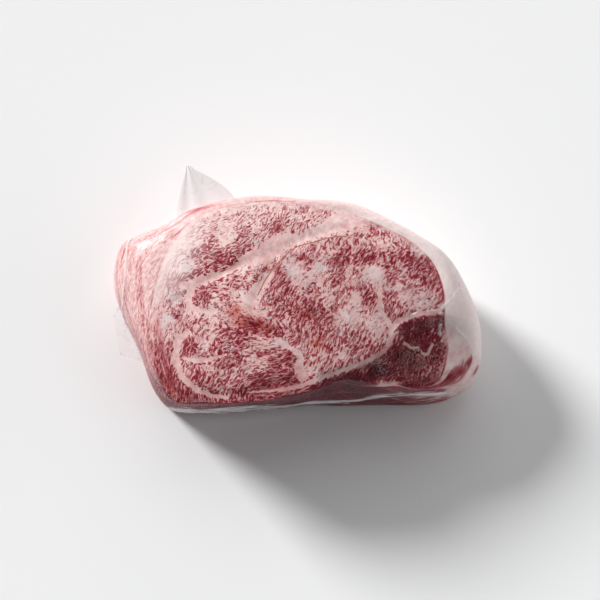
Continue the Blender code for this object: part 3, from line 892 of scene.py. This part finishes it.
def marbled_beef():
    """Raw marbled beef: dark red lean in flecks along the fibres, in a net of pale pink fat."""
    material, tree = new_material("marbled_beef")
    grain = add(tree, "Attribute", out="Vector", attribute_name="grain")
    darkness, haze, blood = numbers_of(tree, "tone_and_shade")
    side, strata, net = numbers_of(tree, "skin")
    bent = bent_fibres(tree, grain)
    flecked, depth = cut_lean(tree, grain, bent, net)
    lean = add(tree, "Mix", {"Factor": side, "A": flecked, "B": side_lean(tree, strata)}, data_type="FLOAT")

    # Lean and fat darken with the darkness number: the meat's own tone, with painted shade on the front, at
    # the left end and in the hollow under the eye's front edge.
    red = add(tree, "ValToRGB", {0: depth}, stops=LEAN_REDS)
    dark_red = add(tree, "ValToRGB", {0: depth}, stops=DARK_REDS)
    red = add(tree, "Mix", {"Factor": darkness, "A": red, "B": dark_red}, data_type="RGBA")
    fat_wave = add(tree, "TexNoise", {"Vector": bent, "Scale": 0.25, "Detail": 3.0})
    fat = add(tree, "ValToRGB", {0: fat_wave}, stops=FAT_PINKS)
    shade = add(tree, "ValToRGB", {0: darkness}, stops=FAT_SHADES)
    fat = add(tree, "Mix", {"Factor": 1.0, "A": fat, "B": shade}, data_type="RGBA", blend_type="MULTIPLY")
    colour = add(tree, "Mix", {"Factor": lean, "A": fat, "B": red}, data_type="RGBA")
    stain = add(tree, "Math", {0: blood, 1: 0.85}, operation="MULTIPLY")
    colour = add(tree, "Mix", {"Factor": stain, "A": colour, "B": linear(BLOOD_STAIN)}, data_type="RGBA",
                 blend_type="MULTIPLY")
    colour = lined(tree, frosted(tree, colour, grain, haze), side)

    # Fat stands a little proud of the lean, and both are damp.
    relief = add(tree, "Math", {0: lean, 1: -0.6, 2: fat_wave}, operation="MULTIPLY_ADD")
    bump = add(tree, "Bump", {"Height": relief, "Distance": 0.4 * MM, "Strength": 0.5})
    rough = add(tree, "MapRange", {"Value": lean, "To Min": 0.52, "To Max": 0.40})
    shader = add(tree, "BsdfPrincipled", {"Base Color": colour, "Roughness": rough, "Normal": bump,
                                          "IOR": 1.38, "Specular IOR Level": 0.1})
    add_output(tree, shader)
    return material


FILM_IOR = 1.36  # the film and the damp meat under it, seen together
MOST_MIRROR = 0.09
FILM_WHITE = "#F5F1F1"


def front_glare(tree, place):
    """Painted reflection: the level wrinkles of the front are painted white at a low angle, standing in
    for their glare, and hardly show straight on.
    """
    glare = add(tree, "Attribute", out="Fac", attribute_name="glare")
    low_angle = add(tree, "LayerWeight", {"Blend": 0.5}, out="Facing")
    low_angle = add(tree, "MapRange", {"Value": low_angle, "From Min": 0.35, "From Max": 0.70,
                                       "To Min": 0.12})
    lines = add(tree, "VectorMath", {0: place, 1: (30.0, 30.0, 420.0)}, operation="MULTIPLY")
    lines = add(tree, "TexNoise", {"Vector": lines, "Scale": 1.0, "Detail": 3.0, "Distortion": 0.6})
    lines = add(tree, "MapRange", {"Value": lines, "From Min": 0.36, "From Max": 0.56, "To Min": 0.35})
    glare = add(tree, "Math", {0: glare, 1: low_angle}, operation="MULTIPLY")
    return add(tree, "Math", {0: glare, 1: lines}, operation="MULTIPLY")


def film_whiteness(tree, place, wrinkles):
    """How white the film is: where it is creased, with painted highlights, along the front's wrinkles,
    with painted glare, and at its weld.
    """
    milk = add(tree, "Attribute", out="Fac", attribute_name="milk")
    weld = add(tree, "Attribute", out="Fac", attribute_name="weld")
    white = add(tree, "Math", {0: wrinkles, 1: 1.0, 2: -0.5}, operation="MULTIPLY_ADD")
    white = add(tree, "Math", {0: white, 1: milk}, operation="ADD")
    white = add(tree, "Math", {0: white, 1: front_glare(tree, place)}, operation="ADD")
    white = add(tree, "MapRange", {"Value": white, "From Min": 0.25, "From Max": 0.80, "To Max": 0.92},
                interpolation_type="SMOOTHSTEP")
    near = add(tree, "Math", {0: weld}, operation="ABSOLUTE")
    near = add(tree, "MapRange", {"Value": near, "From Min": 1.3, "From Max": 0.5},
               interpolation_type="SMOOTHSTEP")
    near = add(tree, "Math", {0: near, 1: 0.4}, operation="MULTIPLY")
    return add(tree, "Math", {0: white, 1: near}, operation="MAXIMUM")


def shrink_film():
    """Multilayer shrink film, drawn tight by hot water: clear and glossy, white where it is creased,
    with painted highlights on the creases and painted glare along the front.
    """
    material, tree = new_material("shrink_film")
    place = add(tree, "TexCoord", out="Object")
    stretched = add(tree, "VectorMath", {0: place, 1: (1.0, 1.0, 3.0)}, operation="MULTIPLY")
    wrinkles = add(tree, "TexNoise", {"Vector": stretched, "Scale": 90.0, "Detail": 4.0, "Distortion": 1.2})
    bump = add(tree, "Bump", {"Height": wrinkles, "Distance": 0.5 * MM, "Strength": 0.35})
    gloss = add(tree, "BsdfGlossy", {"Color": (1, 1, 1, 1), "Roughness": 0.36, "Normal": bump})
    clear = add(tree, "BsdfTransparent", {"Color": (1, 1, 1, 1)})
    # Seen from within, the film would mirror everything and keep the light off the meat.
    inside = add(tree, "NewGeometry", out="Backfacing")
    bending = add(tree, "MapRange", {"Value": inside, "To Min": FILM_IOR, "To Max": 1 / FILM_IOR})
    mirror = add(tree, "Fresnel", {"IOR": bending, "Normal": bump})
    mirror = add(tree, "Math", {0: mirror, 1: MOST_MIRROR}, operation="MINIMUM")
    shader = add(tree, "MixShader", {0: mirror, 1: clear, 2: gloss})
    # White film, which also paints the creases' highlights and the front's glare.
    crease = add(tree, "BsdfPrincipled", {"Base Color": linear(FILM_WHITE), "Roughness": 0.3,
                                          "Normal": bump})
    white = film_whiteness(tree, place, wrinkles)
    shader = add(tree, "MixShader", {0: white, 1: shader, 2: crease})
    add_output(tree, shader)
    return material


def pale_floor():
    """A matt white table top."""
    material, tree = new_material("pale_table")
    place = add(tree, "TexCoord", out="Object")
    grit = add(tree, "TexNoise", {"Vector": place, "Scale": 3.0})
    colour = add(tree, "ValToRGB", {0: grit}, stops=((0.3, "#F6F6F6"), (0.7, "#F7F7F7")))
    shader = add(tree, "BsdfPrincipled", {"Base Color": colour, "Roughness": 0.9, "Specular IOR Level": 0.1})
    add_output(tree, shader)
    return material


# ---- The set ----

VIEW_ELEVATION = math.radians(76)
VIEW_DISTANCE = 1.4
VIEW_HEIGHT = 0.045
LENS = 105.0
# Turn about the upright and elevation in degrees, softness in degrees, and strength.
KEY_LIGHT = (139, 26, 17, 4.0)
BACK_LIGHT = (86, 45, 60, 0.62)
FILL_LIGHT = (-4, 24, 60, 0.62)
AMBIENT = (0.154, 0.158, 0.163, 1.0)


def camera():
    target = Vector((SHIFT[0] * MM, SHIFT[1] * MM, VIEW_HEIGHT))
    data = bpy.data.cameras.new("camera")
    data.lens, data.sensor_width = LENS, 36.0
    made = bpy.data.objects.new("camera", data)
    made.location = target + VIEW_DISTANCE * Vector((0, -math.cos(VIEW_ELEVATION), math.sin(VIEW_ELEVATION)))
    made.rotation_euler = (math.pi / 2 - VIEW_ELEVATION, 0, 0)
    bpy.context.scene.collection.objects.link(made)
    bpy.context.scene.camera = made


def sunlight(name, turn, elevation, softness, strength):
    data = bpy.data.lights.new(name, "SUN")
    data.energy, data.angle = strength, math.radians(softness)
    light = bpy.data.objects.new(name, data)
    light.location = (0, 0, 2)
    light.rotation_euler = (0, math.radians(90 - elevation), math.radians(turn))
    bpy.context.scene.collection.objects.link(light)
    return light


def lights():
    sunlight("key", *KEY_LIGHT)
    sunlight("back", *BACK_LIGHT).visible_glossy = False
    sunlight("fill", *FILL_LIGHT).visible_glossy = False
    world = bpy.data.worlds.new("studio")
    world.use_nodes = True
    world.node_tree.nodes["Background"].inputs["Color"].default_value = AMBIENT
    bpy.context.scene.world = world
    bpy.context.scene.view_settings.view_transform = "Standard"


def table_top():
    bm = bmesh.new()
    bmesh.ops.create_grid(bm, x_segments=1, y_segments=1, size=6.0)
    floor = mesh_piece("table_top", bm)
    floor.data.materials.append(pale_floor())


def finish_piece(piece, material):
    piece.data.materials.append(material)
    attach(piece, ROOT)


camera()
lights()
table_top()
meat = meat_piece()
finish_piece(meat, marbled_beef())
film = film_piece()
film_material = shrink_film()
finish_piece(film, film_material)
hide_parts(SEALED)
for corner in BAG_CORNERS:
    finish_piece(bag_corner(*corner), film_material)
